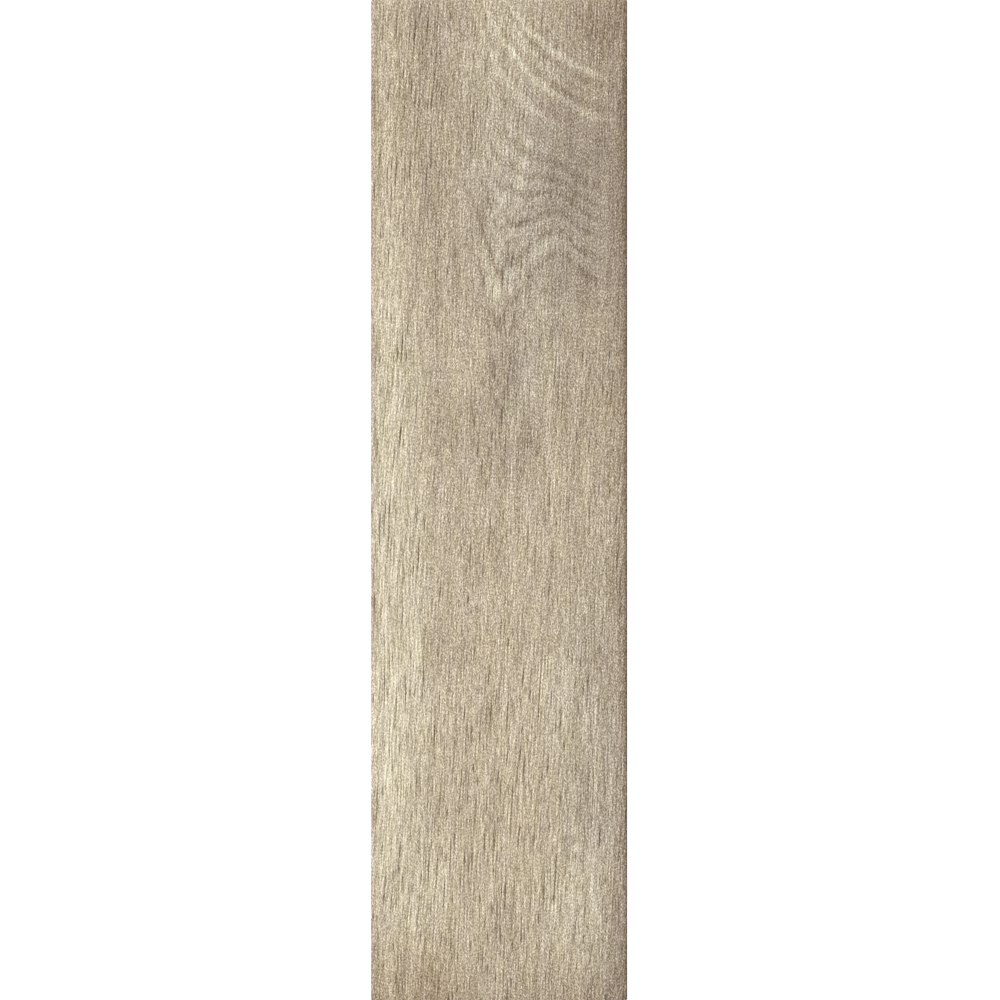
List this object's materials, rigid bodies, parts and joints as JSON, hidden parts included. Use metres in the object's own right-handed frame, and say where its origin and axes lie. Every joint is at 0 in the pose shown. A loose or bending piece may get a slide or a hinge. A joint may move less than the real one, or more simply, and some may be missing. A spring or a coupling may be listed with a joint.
{
  "type": "wood look porcelain plank tile",
  "caption": "Flat rectangular porcelain floor or wall plank with a printed wood grain face, rolled face edges and a waffle back that is bedded in adhesive.",
  "frame": {"origin": "middle of the back, on the plane of the back's ribs and rim, which is what the tile lies on", "axes": "+Z up out of the printed face, +Y along the plank's length, +X across its width; the picture is seen from +Z with +Y up"},
  "size_m": [0.155, 0.605, 0.009],
  "materials": {
    "glazed_porcelain": "matte"
  },
  "bodies": {
    "root": {"plank_tile": "glazed_porcelain"}
  },
  "joints": []
}
